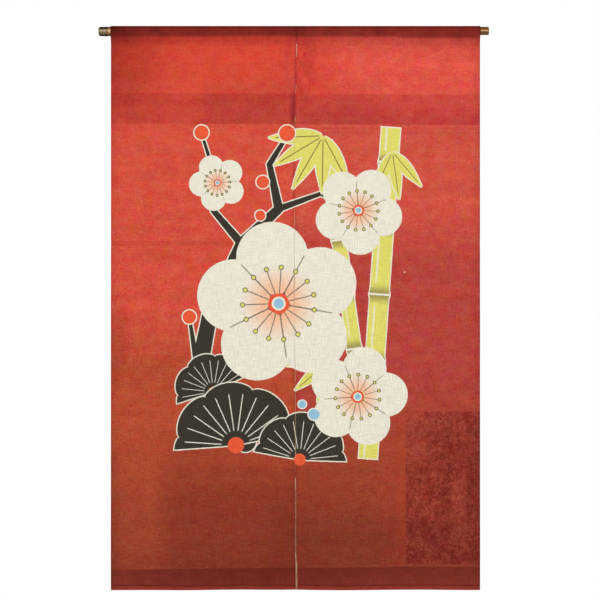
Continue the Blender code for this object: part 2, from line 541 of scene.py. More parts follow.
SCARLET = (0.69, 0.066, 0.039)
CORAL = (0.76, 0.095, 0.066)
TOMATO = (0.67, 0.085, 0.052)
SALMON = (0.64, 0.089, 0.059)
BRICK = (0.49, 0.077, 0.035)
ROSE = (0.49, 0.062, 0.048)
DUSKY_ROSE = (0.465, 0.060, 0.046)
RUST = (0.377, 0.062, 0.029)
OXBLOOD = (0.25, 0.043, 0.022)
DEEP_RED = (0.175, 0.019, 0.014)
CRIMSON = (0.67, 0.062, 0.038)
MAROON = (0.20, 0.013, 0.008)
CHERRY = (0.54, 0.052, 0.055)
GARNET = (0.46, 0.036, 0.030)
WINE = (0.36, 0.016, 0.020)
CLAY_RED = (0.42, 0.054, 0.036)
TERRACOTTA = (0.40, 0.056, 0.026)
CHESTNUT = (0.165, 0.0235, 0.0150)
RUSSET = (0.31, 0.036, 0.025)
CRIMSON_DARKENING = (0.55, 0.18, 0.50)

# Dye down each width: drop below the top edge in millimetres, colour
LEFT_DYE = (
    (40, SCARLET), (240, TOMATO), (690, TOMATO), (810, BRICK), (930, BRICK), (1070, RUST), (1345, OXBLOOD),
)
RIGHT_DYE = (
    (60, CORAL), (150, CORAL), (260, SALMON), (430, SALMON), (560, ROSE), (830, DUSKY_ROSE), (1040, RUST),
    (1230, OXBLOOD),
)

BAND_TOP = 164 * MM
BAND_LOW = 232 * MM
PRESS_LINE = 244.4 * MM
PRESS_PITCH = 10.7 * MM
CREASE_DROP = 518 * MM
PATCH_LEFT = 263 * MM
PATCH_TOP = 921 * MM
PATCH_LOW = 1281 * MM
PATCH_TONE = (0.24, 0.030, 0.020)
CLOT_DARK_AND_SHADE = (0.165, 0.018, 0.014)
CLOT_LIGHT_AND_HIGHLIGHT = (0.43, 0.079, 0.050)
SPECK = (260 * MM, -587 * MM, 0)
THREAD_PITCH = 0.9 * MM

# Bare selvedge threads along the seam and the slit: top, low end and softness in millimetres, cover
PINK_THREAD = (0.80, 0.48, 0.36)
PINK_STRETCHES = ((45, 71, 4, 0.55), (144, 158, 4, 0.30))
TAN_THREAD = (0.52, 0.36, 0.19)
TAN_STRETCHES = (
    (219, 238, 6, 0.35), (440, 1030, 6, 0.32), (595, 650, 30, 0.75), (1002, 1030, 5, 0.40),
    (1080, 1345, 6, 0.28), (1080, 1104, 6, 0.50), (1262, 1345, 15, 0.52),
)


def window(value, low, high, soft):
    """One between low and high, with soft ends outside them."""
    return rise(value, low - soft, low) * fall(value, high, high + soft)


def dye_ground(table, drop, point):
    """Brushed dye, bright red at the top and deep red at the hem, with long uneven strokes."""
    wander = (cloud(point, (2.2, 16, 1), detail=3) - 0.5) * (60 * MM)
    node = add_node("ValToRGB")
    feed(node.inputs[0], (drop + wander) / CLOTH_HEIGHT)
    stops = node.color_ramp.elements
    while len(stops) < len(table):
        stops.new(0.5)
    for stop, (stop_drop, colour) in zip(stops, table):
        stop.position = stop_drop * MM / CLOTH_HEIGHT
        stop.color = (*colour, 1.0)
    return Wire(node.outputs[0])


def crimson_darken(ground, cover):
    """Darkening towards crimson, which takes out green most; at the crease line it is painted shade."""
    return vector_math("MULTIPLY", ground, paint((1.0, 1.0, 1.0), CRIMSON_DARKENING, cover))


def darker_dye_and_painted_shade(ground, x, drop, point, inner, side):
    """Darker places: the band across the upper part, both sides of the seam, a stain beside it and the low
    part; painted shade at the crease line, down the upper left side, along the slit's edges and in the sewn
    joint.
    """
    ragged = cloud(point, (55, 28, 1), detail=4, roughness=0.6)
    band = window(drop - x * 0.005, BAND_TOP, BAND_LOW, 5 * MM)
    outer_band = rise(x, 0.0, 150 * MM) * (rise(drop, BAND_TOP, BAND_LOW) * 0.14 + 0.04)
    ground = crimson_darken(ground, band * (outer_band + 0.27))
    if side < 0:
        middle, above, in_band = fall(inner, 195 * MM, 265 * MM), 0.10, 0.04
    else:
        middle, above, in_band = fall(inner, 110 * MM, 230 * MM), 0.05, 0.10
    above_band = rise(drop, 110 * MM, 150 * MM) * fall(drop, 230 * MM, 236 * MM)
    ground = shade(ground, 1.0 - middle * (above_band * above + band * in_band))
    if side > 0:
        turn = (drop - PRESS_LINE) * (2 * math.pi / PRESS_PITCH)
        lines = (calculate("COSINE", turn) + 1.0) * window(drop, 240 * MM, 260 * MM, 4 * MM)
        ground = crimson_darken(ground, lines * 0.11)
    # Painted shade along the crease line, tinted crimson
    crease = window(drop, CREASE_DROP - 4 * MM, CREASE_DROP + 5 * MM, 2.5 * MM) * (0.13 - x * 0.18)
    # Painted shade down the upper left side, darkest at the edge
    flank_shade = fall(x, -440 * MM, -250 * MM) * fall(drop, 100 * MM, 300 * MM) * 0.50
    edge = fall(x, -415 * MM, -390 * MM) * window(drop, 700 * MM, 790 * MM, 60 * MM) * 0.22
    ground = paint(ground, MAROON, flank_shade)
    ground = paint(ground, DEEP_RED, edge)
    ground = crimson_darken(ground, crease)
    flank = fall(drop, 150 * MM, 240 * MM) * rise(ragged, 0.30, 0.62) * 0.55
    if side < 0:
        ground = paint(ground, CHERRY, flank * fall(inner, 5 * MM, 48 * MM))
        low_flank = fall(inner, 285 * MM, 345 * MM) * 0.30
        by_slit = fall(inner, 10 * MM, 110 * MM) * rise(drop, 1060 * MM, 1190 * MM)
        outer = rise(x, -440 * MM, -400 * MM) * fall(x, -350 * MM, -250 * MM)
        outer = outer * rise(drop, 930 * MM, 1080 * MM)
        ground = shade(ground, outer * 0.13 - by_slit * 0.14 + 1.0)
    else:
        crimson = fall(inner, 50 * MM, 150 * MM) * fall(drop, 130 * MM, 240 * MM)
        ground = paint(ground, CRIMSON, crimson * 0.7)
        ground = paint(ground, GARNET, flank * fall(inner, 30 * MM, 58 * MM))
        low_flank = fall(inner, 20 * MM, 270 * MM) * 0.12
    # Painted shade along both edges of the slit, below the sewn part
    slit_edge = fall(inner, 2.5 * MM, 12 * MM) * rise(drop, 430 * MM, 470 * MM) * 0.22
    ground = paint(ground, DEEP_RED, low_flank * rise(drop, 900 * MM, 1150 * MM) + slit_edge)
    # Painted shade in the sewn joint between the widths, broken up
    line = fall(inner, 1.0 * MM, 4.5 * MM) * fall(drop, 430 * MM, 470 * MM) * rise(ragged, 0.25, 0.5)
    ground = paint(ground, WINE, line * 0.50)
    if side < 0:
        stain = fall(inner, 4 * MM, 17 * MM) * window(drop, 168 * MM, 225 * MM, 18 * MM)
        ground = paint(ground, CLOT_DARK_AND_SHADE, stain * rise(ragged, 0.30, 0.6) * 0.62)
    return ground


def dye_patch(ground, x, drop, point):
    """The darker oblong at the lower right, where the dye took in clots, and the plain strip beside it."""
    strip = window(x, PATCH_LEFT - 22 * MM, PATCH_LEFT, 3 * MM) * window(drop, 890 * MM, PATCH_LOW, 30 * MM)
    shoulder = window(x, PATCH_LEFT - 50 * MM, PATCH_LEFT - 22 * MM, 40 * MM)
    shoulder = shoulder * rise(drop, 1000 * MM, 1100 * MM)
    ground = paint(ground, CLAY_RED, shoulder * 0.28)
    ground = paint(ground, TERRACOTTA, strip * 0.5)
    ground = shade(ground, 1.0 - (strip * 0.6 + shoulder) * rise(drop, 1130 * MM, 1230 * MM) * 0.12)
    inside = rise(x, PATCH_LEFT - 1 * MM, PATCH_LEFT + 2 * MM) * window(drop, PATCH_TOP, PATCH_LOW, 4 * MM)
    thin = fall(x, PATCH_LEFT + 25 * MM, PATCH_LEFT + 78 * MM) * window(drop, 925 * MM, 1062 * MM, 8 * MM)
    clots = cloud(point, (106, 92, 1), detail=3, roughness=0.62, curl=1.1)
    broad = cloud(point, (30, 24, 1), detail=3)
    ground = paint(ground, PATCH_TONE, inside * (0.9 - thin * 0.42))
    dark = rise(clots + broad * 0.5, 0.74, 0.97)
    light = fall(clots + broad * 0.4, 0.53, 0.76)
    pale_column = window(x, 376 * MM, 404 * MM, 8 * MM) * window(drop, 1090 * MM, 1220 * MM, 20 * MM)
    ground = paint(ground, CLOT_DARK_AND_SHADE, dark * inside * 0.62)
    ground = paint(ground, CLOT_LIGHT_AND_HIGHLIGHT, inside * (light * 0.55 + pale_column * 0.18))
    along = fall(drop, 940 * MM, 975 * MM) * 0.12 - rise(drop, 1170 * MM, 1200 * MM) * 0.13
    streaks = window(x, 352 * MM, 371 * MM, 5 * MM) * 0.09 + rise(x, 403 * MM, 412 * MM) * 0.11
    streaks = streaks * window(drop, 950 * MM, 1165 * MM, 30 * MM)
    return shade(ground, inside * (along - streaks) + 1.0)


def painted_layer_shade(colour, x, drop, point, inner, blotches):
    """Painted shade where the pole and the pocket's second layer lie behind the front, and on the hem's two
    layers down to its pressed crease; a painted highlight along the hem's upper ridge and a lighter strip
    along the bottom edge.
    """
    wander = (cloud(point, (14, 0, 1), detail=2) - 0.5) * (5 * MM)
    mottle = blotches * 1.2 + 0.4
    left_edge = fall(x, -440 * MM, -330 * MM)
    lower = rise(x, 235 * MM, 260 * MM) * (2.8 * MM) - window(x, -150 * MM, -30 * MM, 40 * MM) * (1.1 * MM)
    # Painted shade over the pole and where the pocket's back layer lies behind the front, with more painted
    # shade at the right edge beside the pocket
    painted_pole_shade = fall(drop + wander * 0.4 - lower, 22.0 * MM, 31.0 * MM) * 0.95
    right = rise(x, -20 * MM, 60 * MM)
    pocket = fall(drop, right * (-13 * MM) + 33 * MM, right * (22 * MM) + 54 * MM)
    deeper = left_edge * 0.26 + rise(x, 0.0, 300 * MM) * 0.14 + rise(x, 340 * MM, 370 * MM) * 0.07 + 0.30
    painted_edge_shade = rise(x, 408 * MM, 424 * MM) * window(drop, 30 * MM, 78 * MM, 12 * MM) * 0.07
    colour = paint(colour, shade(DEEP_RED, mottle), pocket * deeper + painted_edge_shade)
    # Over the pole the painted shade lightens downwards and is deeper at the left, with a painted highlight
    # along the top edge
    rolled = rise(drop, 2 * MM, 26 * MM) * 0.31 + fall(drop, 1 * MM, 6 * MM) * 0.25
    rolled = rolled + rise(x, -100 * MM, 100 * MM) * 0.05 + 0.97
    rolled = rolled * (1.0 - left_edge * 0.33 - fall(x, -435 * MM, -415 * MM) * 0.08)
    # Darker beside the seam over the pole, with painted shade in the joint itself
    darker_by_seam = fall(inner, 12 * MM, 34 * MM) * 0.22 + fall(inner, 1.0 * MM, 4.0 * MM) * 0.20
    colour = paint(colour, shade(DEEP_RED, mottle * rolled * (1.0 - darker_by_seam)), painted_pole_shade)

    # Painted shade on the hem's two layers
    hem_top = HEM_TOP - 1.8 * MM - x * 0.0092
    hem = fall(drop - wander, CLOTH_HEIGHT - 9 * MM, CLOTH_HEIGHT - 6.5 * MM)
    hem = hem * rise(drop, hem_top - 2 * MM, hem_top)
    lighter = rise(x, -100 * MM, 400 * MM) * 0.26 + left_edge * 0.16 + fall(x, -300 * MM, -180 * MM) * 0.10
    lighter = lighter + (drop - HEM_TOP) * 6.4 + 0.92
    colour = paint(colour, shade(CHESTNUT, lighter * (blotches * 0.5 + 0.75)), hem * 0.88)
    # Painted shade in the pressed crease near the bottom
    pressed = near(drop - wander, CLOTH_HEIGHT - 11.5 * MM, 3 * MM)
    colour = shade(paint(colour, CLOT_DARK_AND_SHADE, pressed * 0.35), 1.0 - pressed * 0.20)
    # Painted highlight along the hem's upper ridge
    painted_ridge_highlight = near(drop + wander, HEM_TOP - 8 * MM, 3 * MM) * rise(x, -100 * MM, 350 * MM) * 0.22
    colour = paint(colour, CLOT_LIGHT_AND_HIGHLIGHT, painted_ridge_highlight)
    strip = rise(drop - wander, CLOTH_HEIGHT - 8 * MM, CLOTH_HEIGHT - 5.5 * MM)
    return paint(colour, RUSSET, strip * 0.7)


def show_threads(colour, drop, inner, down):
    """Bare selvedge threads of the right width."""
    lean = rise(drop, 1250 * MM, 1290 * MM) * (0.9 * MM)
    reach = rise(drop, 1085 * MM, 1110 * MM) * (0.5 * MM) + 1.9 * MM
    width = window(inner - lean, 0.0, reach, 1.0 * MM) * (rise(down, 0.35, 0.6) * 0.6 + 0.55)
    for thread, stretches in ((PINK_THREAD, PINK_STRETCHES), (TAN_THREAD, TAN_STRETCHES)):
        for top, low, soft, cover in stretches:
            colour = paint(colour, thread, window(drop, top * MM, low * MM, soft * MM) * width * cover)
    return colour


def plain_weave(weave, across, down):
    """Height of the threads, which pass over and under each other in turn and wander a little."""
    u, v, _ = parts(weave)
    warp_turn = (u + down * (1.2 * MM)) * (math.pi / THREAD_PITCH)
    weft_turn = (v + across * (1.2 * MM)) * (math.pi / THREAD_PITCH)
    warp = calculate("SINE", warp_turn)
    weft = calculate("SINE", weft_turn)
    warp_over = rise(warp * weft, -0.2, 0.2) * 0.45
    return most(abs(warp) * (warp_over + 0.55), abs(weft) * (1.0 - warp_over))


def make_cloth_material(name, design, table, side):
    material, shader = new_material(name)
    place = Wire(add_node("TexCoord").outputs["Object"])
    x, _, z = parts(place)
    drop = CLOTH_TOP - z
    point = point_at(x, drop * -1.0)
    weave = Wire(add_node("UVMap", uv_map="weave").outputs["UV"])
    inner = Wire(add_node("Attribute", attribute_name="from_selvedge").outputs["Fac"])

    # Threads: thick and thin ones both ways, and the grain of the plain weave
    across = cloud(weave, (60, 330, 1), detail=1)
    down = cloud(weave, (330, 55, 1), detail=1)
    grain = cloud(weave, (230, 230, 1), detail=1)
    fine_across = cloud(weave, (35, 1000, 1), detail=0)
    fine_down = cloud(weave, (1000, 35, 1), detail=0)
    threads = plain_weave(weave, across, down)
    blotches = cloud(point, (24, 30, 1), detail=4, roughness=0.6)
    brushing = cloud(point, (1.6, 42, 1), detail=3)

    ground = dye_ground(table, drop, point)
    ground = darker_dye_and_painted_shade(ground, x, drop, point, inner, side)
    if side > 0:
        ground = dye_patch(ground, x, drop, point)

    # Green and blue vary more than red where the cloth took the dye unevenly
    fleck = cloud(weave, (260, 205, 1), detail=1)
    warm = cloud(point, (36, 46, 1), detail=5, roughness=0.68)
    cool = cloud(point, (50, 32, 1), detail=5, roughness=0.68)
    vivid = window(drop, 200 * MM, 800 * MM, 250 * MM) * 0.65 + 1.15
    green = grain + across * 0.4 + (warm - 0.5) * vivid * 0.9 + 0.3
    blue = grain * 0.5 + fleck * 1.2 + ((warm - 0.5) * 0.4 + (cool - 0.5) * 0.9) * vivid + 0.15
    ground = vector_math("MULTIPLY", ground, point_at(1.0, green, blue))
    ground = shade(ground, blotches * 0.36 + brushing * 0.26 + 0.69)
    speck = fall(vector_math("DISTANCE", point, SPECK, output="Value"), 1.0 * MM, 2.4 * MM)
    ground = paint(ground, WHITE, speck * 0.7)

    # The dye goes round the resist lines with a slight bleed along the threads
    bleed = point_at((across - 0.5) * (2.0 * MM), (down - 0.5) * (2.0 * MM))
    drawn = add_node("Group", node_tree=design)
    feed(drawn.inputs["Point"], vector_math("ADD", point, bleed))
    feed(drawn.inputs["Ground"], ground)
    colour = painted_layer_shade(Wire(drawn.outputs[0]), x, drop, point, inner, blotches)

    if side > 0:
        colour = show_threads(colour, drop, inner, down)

    tone = across * 0.15 + down * 0.19 + grain * 0.10 + 0.78
    tone = tone * ((fine_across + fine_down) * 0.30 + threads * 0.34 + 0.47)
    contrast = rise(drop, 200 * MM, 900 * MM) * 0.50 + 0.64
    tone = (tone - 1.0) * contrast + 1.0
    # Painted shade along both outer edges
    painted_edge_shade = rise(abs(x), 418 * MM, 438 * MM) * 0.10
    feed(shader.inputs["Base Color"], shade(colour, tone * (1.0 - painted_edge_shade)))
    shader.inputs["Roughness"].default_value = 1.0
    shader.inputs["Specular IOR Level"].default_value = 0.0
    height = threads + (fine_across + fine_down) * 0.5 + across + down
    feed(shader.inputs["Normal"], bump(height, 0.55, 0.5 * MM))
    return material


# Cloth's shape


def pole_radius(x):
    share = (x - pole_low.x) / (pole_high.x - pole_low.x)
    return POLE_RADIUS_LEFT + (POLE_RADIUS_RIGHT - POLE_RADIUS_LEFT) * share


def sheet_path(x):
    """Middle of the cloth as (y, drop): up behind the pole, over it, down the front and round the hem."""
    radius = pole_radius(x) + HIDDEN_RIDGE + POLE_GAP + CLOTH_THICK / 2
    start_drop = CLOTH_THICK / 2 + radius
    side = LAYER_PITCH / 2
    path = [(side, POCKET_HEIGHT + POCKET_TURN)]
    run = []
    for step in range(POCKET_STEPS):
        share = step / POCKET_STEPS
        y = side + (radius - side) * ease(share)
        run.append((y, POCKET_HEIGHT - (POCKET_HEIGHT - start_drop) * share))
    path += run
    for step in range(OVER_STEPS + 1):
        turn = math.pi * step / OVER_STEPS
        path.append((radius * math.cos(turn), start_drop - radius * math.sin(turn)))
    path += [(-y, drop) for y, drop in reversed(run)]
    rows = round((FOLD_START - POCKET_HEIGHT) / ROW_PITCH)
    for row in range(1, rows + 1):
        path.append((-side, POCKET_HEIGHT + (FOLD_START - POCKET_HEIGHT) * row / rows))
    for step in range(1, FOLD_STEPS + 1):
        turn = math.pi * step / FOLD_STEPS
        path.append((-FOLD_RADIUS * math.cos(turn), FOLD_START + FOLD_RADIUS * math.sin(turn)))
    for step in range(1, HEM_STEPS + 1):
        path.append((side, FOLD_START - (FOLD_START - HEM_TOP) * step / HEM_STEPS))
    return path


def sway(x, drop, inner, outer, folds):
    """How far the cloth stands off the flat, towards +Y: the folds and creases of the CAD sheet."""
    across = (x - inner) / (outer - inner)
    grown = ease((drop - FOLDS_START) / (CLOTH_HEIGHT - FOLDS_START))
    out = 0.0
    for waves, phase, depth in folds:
        out += grown * depth * math.sin(2 * math.pi * (waves * across + phase))
    for middle, depth, half in CREASES:
        out += depth * (1 - ease(abs(drop - middle) / half))
    curl = ease((drop - EDGE_CURL_START) / (CLOTH_HEIGHT - EDGE_CURL_START))
    near_edge = 1 - abs(x - inner) / EDGE_CURL_WIDTH
    return out + EDGE_CURL * curl * ease(near_edge)


def crumple(x, drop):
    """Small unevenness: gathers under the pocket's stitch line and over the hem's, loose cloth between."""
    below = drop - POCKET_HEIGHT
    below_pocket = ease(below / (12 * MM)) * math.exp(-below / (38 * MM))
    above_hem = math.exp(-abs(drop - HEM_TOP) / (22 * MM))
    gathers = noise.noise(Vector((x * 52, drop * 6, 1.7)))
    loose = noise.noise(Vector((x * 7, drop * 5, 8.3)))
    loose += 0.4 * noise.noise(Vector((x * 19, drop * 13, 4.1)))
    free = ease(below / (90 * MM))
    return gathers * (0.7 * below_pocket + 0.35 * above_hem) * MM + loose * free * 1.8 * MM


def seam_dip(side, x, drop):
    """The sewn selvedges sink back a little beside the whip stitches."""
    sewn = ease((drop - POCKET_HEIGHT) / (20 * MM)) * ease((SEWN_END - drop) / (20 * MM))
    return 0.4 * MM * sewn * math.exp(-((x - inner_edge(side, drop)) / (2.2 * MM)) ** 2)


def inner_edge(side, drop):
    middle, gap = meeting_line(drop)
    return middle + side * gap / 2


def surface(side, folds, x, drop):
    """How far the flat part of a width stands towards +Y at a place on it."""
    hanging = sway(x, drop, inner_edge(side, drop), side * CLOTH_WIDTH / 2, folds)
    return hanging + crumple(x, drop) + seam_dip(side, x, drop)


def make_sheet(name, side, folds, material):
    """One width of cloth; side is -1 for the left width and 1 for the right."""
    mesh = bmesh.new()
    uv = mesh.loops.layers.uv.new("weave")
    outer = side * CLOTH_WIDTH / 2
    columns = []
    shares = list(SELVEDGE_COLUMNS) + [column / COLUMNS for column in range(1, COLUMNS + 1)]
    for share in shares:
        along = 0.0
        previous = None
        line = []
        for y, drop in sheet_path(outer * share):
            inner = inner_edge(side, drop)
            x = inner + (outer - inner) * share
            if previous is not None:
                along += math.hypot(y - previous[0], drop - previous[1])
            previous = (y, drop)
            vertex = mesh.verts.new((x, y + surface(side, folds, x, drop), CLOTH_TOP - drop))
            line.append((vertex, (x, along), abs(x - inner)))
        columns.append(line)
    for line, following in zip(columns, columns[1:]):
        for row in range(len(line) - 1):
            corners = (line[row], line[row + 1], following[row + 1], following[row])
            face = mesh.faces.new([corner[0] for corner in corners])
            for loop, corner in zip(face.loops, corners):
                loop[uv].uv = corner[1]
    from_selvedge = [corner[2] for line in columns for corner in line]
    sheet = add_piece(name, mesh, material)
    attribute = sheet.data.attributes.new("from_selvedge", "FLOAT", "POINT")
    attribute.data.foreach_set("value", from_selvedge)
    thickness = sheet.modifiers.new("cloth thickness", "SOLIDIFY")
    thickness.thickness = CLOTH_THICK
    thickness.offset = 0.0
    thickness.use_even_offset = True
    return sheet


def join_rings(mesh, ring, following):
    for corner in range(len(ring)):
        onward = (corner + 1) % len(ring)
        mesh.faces.new((ring[corner], ring[onward], following[onward], following[corner]))


def add_object(name, data):
    item = bpy.data.objects.new(name, data)
    bpy.context.scene.collection.objects.link(item)
    return item


def add_piece(name, mesh, material):
    bmesh.ops.recalc_face_normals(mesh, faces=mesh.faces)
    data = bpy.data.meshes.new(name)
    mesh.to_mesh(data)
    mesh.free()
    data.shade_smooth()
    data.set_sharp_from_angle(angle=math.radians(50))
    data.materials.append(material)
    return add_object(name, data)


# Sewing

THREAD_RED = (0.42, 0.045, 0.028)
THREAD_DARK = (0.20, 0.024, 0.016)
THREAD_HALF = 0.28 * MM
POCKET_STITCH = {"drop": POCKET_HEIGHT - 1.5 * MM, "length": 3.4 * MM, "pitch": 5.2 * MM}
HEM_PRICK = {"drop": HEM_TOP + 3 * MM, "length": 1.3 * MM, "pitch": 9.5 * MM}
WHIP_PITCH = 6.5 * MM
WHIP_REACH = 1.7 * MM


def add_stitch(mesh, start, end, lift):
    """A stitch of thread from one hole to another, lifted off the cloth in the middle."""
    steps = 6
    sides = 6
    run = end - start
    rings = []
    out = lift.normalized()
    aside = run.normalized().cross(out)
    for step in range(steps + 1):
        share = step / steps
        arch = math.sin(math.pi * share)
        middle = start + run * share + lift * (arch ** 0.6 - 0.35)
        radius = THREAD_HALF * (0.35 + 0.65 * arch ** 0.5)
        ring = []
        for corner in range(sides):
            turn = 2 * math.pi * corner / sides
            offset = out * math.cos(turn) + aside * math.sin(turn)
            ring.append(mesh.verts.new(middle + offset * radius))
        rings.append(ring)
    for ring, following in zip(rings, rings[1:]):
        join_rings(mesh, ring, following)
    mesh.faces.new(reversed(rings[0]))
    mesh.faces.new(rings[-1])


def front_point(side, folds, x, drop, layers=1):
    y = surface(side, folds, x, drop) - LAYER_PITCH / 2 - CLOTH_THICK / 2
    if layers == 2:
        y += LAYER_PITCH + CLOTH_THICK
    return Vector((x, y, CLOTH_TOP - drop))


def make_stitching(name, side, folds, material):
    """The pocket's running stitch and the hem's small pricks, on the front and the back of one width."""
    mesh = bmesh.new()
    for stitch in (POCKET_STITCH, HEM_PRICK):
        inner = inner_edge(side, stitch["drop"]) + side * 3 * MM
        outer = side * (CLOTH_WIDTH / 2 - 3 * MM)
        count = int(abs(outer - inner) / stitch["pitch"])
        for number in range(count):
            for layers, towards in ((1, -1), (2, 1)):
                offset = 0.5 if layers == 2 else 0.0
                x = inner + side * (number + offset) * stitch["pitch"]
                drift = 0.5 * MM * noise.noise(Vector((x * 90, side, layers)))
                drop = stitch["drop"] + drift
                start = front_point(side, folds, x, drop, layers)
                end = front_point(side, folds, x + side * stitch["length"], drop + drift, layers)
                add_stitch(mesh, start, end, Vector((0, towards * THREAD_HALF, 0)))
    return add_piece(name, mesh, material)


def make_seam(name, material):
    """Whip stitches that join the two widths from below the pocket to the top of the slit."""
    mesh = bmesh.new()
    count = int((SEWN_END - SEWN_START) / WHIP_PITCH)
    for number in range(count + 1):
        drop = SEWN_START + number * WHIP_PITCH
        slant = 1.0 * MM + 0.5 * MM * noise.noise(Vector((number * 0.73, 2.1, 0.4)))
        for layers, towards in ((1, -1), (2, 1)):
            ends = []
            for side, folds, shift in ((-1, LEFT_FOLDS, -slant), (1, RIGHT_FOLDS, slant)):
                x = inner_edge(side, drop + shift) + side * WHIP_REACH
                point = front_point(side, folds, x, drop + shift)
                if layers == 2:
                    point.y += CLOTH_THICK
                ends.append(point)
            add_stitch(mesh, *ends, Vector((0, towards * THREAD_HALF, 0)))
    return add_piece(name, mesh, material)


def make_thread_material():
    material, shader = new_material("sewing thread")
    place = Wire(add_node("TexCoord").outputs["Object"])
    twist = cloud(place, (700, 700, 2600), detail=2)
    patch = cloud(place, (30, 30, 30), detail=2)
    colour = paint(THREAD_RED, THREAD_DARK, twist)
    feed(shader.inputs["Base Color"], shade(colour, patch * 0.5 + 0.75))
    shader.inputs["Roughness"].default_value = 0.7
    shader.inputs["Specular IOR Level"].default_value = 0.3
    feed(shader.inputs["Normal"], bump(twist, 0.4, 0.1 * MM))
    return material


# Bamboo pole

POLE_SIDES = 56
POLE_TILT = (POLE_RADIUS_LEFT - POLE_RADIUS_RIGHT) / (pole_high.x - pole_low.x)
LEFT_TIP = ((0.0, 0.70), (0.5 * MM, 0.82), (1.2 * MM, 0.90), (2.4 * MM, 0.965), (4 * MM, 1.0))
RIGHT_TIP = ((0.0, 0.85), (0.3 * MM, 0.92), (1.0 * MM, 0.975), (3 * MM, 1.0))
POLE_STATION_PITCH = 12 * MM
LEFT_BORE = (0.52, 9 * MM)
RIGHT_BORE = (0.58, 26 * MM)
HONEY = (0.26, 0.095, 0.006)
STRAW = (0.52, 0.25, 0.065)
GOLD = (0.80, 0.44, 0.20)
OLIVE = (0.25, 0.205, 0.105)
SMOKE_BLACK = (0.035, 0.020, 0.006)
TEA = (0.10, 0.050, 0.008)
PAINTED_HIGHLIGHT = (0.70, 0.40, 0.19)
PAINTED_SHADE_BROWN = (0.105, 0.042, 0.003)
PAINTED_SHADE_BLACK = (0.010, 0.004, 0.001)
SCAR_BROWN = (0.045, 0.028, 0.012)
SAWN_BROWN = (0.10, 0.055, 0.016)


def pole_stations():
    """Stations along the pole as x and radius, from its left end to its right end."""
    stations = []
    for end, inward, tip in ((pole_low.x, 1, LEFT_TIP), (pole_high.x, -1, RIGHT_TIP)):
        for distance, share in tip:
            x = end + inward * distance
            stations.append((x, pole_radius(x) * share))
    for node_x, height in CULM_NODES:
        for along, share in NODE_SECTION:
            x = node_x + along
            stations.append((x, pole_radius(x) + height * share))
    x = pole_low.x
    while x < pole_high.x - POLE_STATION_PITCH:
        x += POLE_STATION_PITCH
        if all(abs(x - other) > 4 * MM for other, _ in stations):
            stations.append((x, pole_radius(x)))
    return sorted(stations)


def make_pole(material):
    """The culm with its ridges, and the bore that shows at each sawn end."""
    mesh = bmesh.new()
    top = pole_radius(0.0)
    rings = []
    stations = pole_stations()
    bores = {0: LEFT_BORE, len(stations) - 1: RIGHT_BORE}
    for x, radius in stations:
        middle = top - pole_radius(x)
        ring = []
        for side in range(POLE_SIDES):
            turn = 2 * math.pi * side / POLE_SIDES
            uneven = 0.16 * MM * noise.noise(Vector((x * 30, 2 * math.sin(turn), 2 * math.cos(turn))))
            reach = radius + uneven - 0.1 * MM
            ring.append(mesh.verts.new((x, reach * math.sin(turn), middle + reach * math.cos(turn))))
        rings.append(ring)
    for ring, following in zip(rings, rings[1:]):
        join_rings(mesh, ring, following)
    for index, (share, depth) in bores.items():
        x, _ = stations[index]
        middle = top - pole_radius(x)
        inward = 1 if index == 0 else -1
        last = rings[index]
        for step in (0.0, 0.6 * MM, depth):
            reach = pole_radius(x) * share + (0 if step else 0.4 * MM)
            ring = []
            for side in range(POLE_SIDES):
                turn = 2 * math.pi * side / POLE_SIDES
                place = (x + inward * step, reach * math.sin(turn), middle + reach * math.cos(turn))
                ring.append(mesh.verts.new(place))
            join_rings(mesh, last, ring)
            last = ring
        mesh.faces.new(last)
    return add_piece("bamboo_pole", mesh, material)


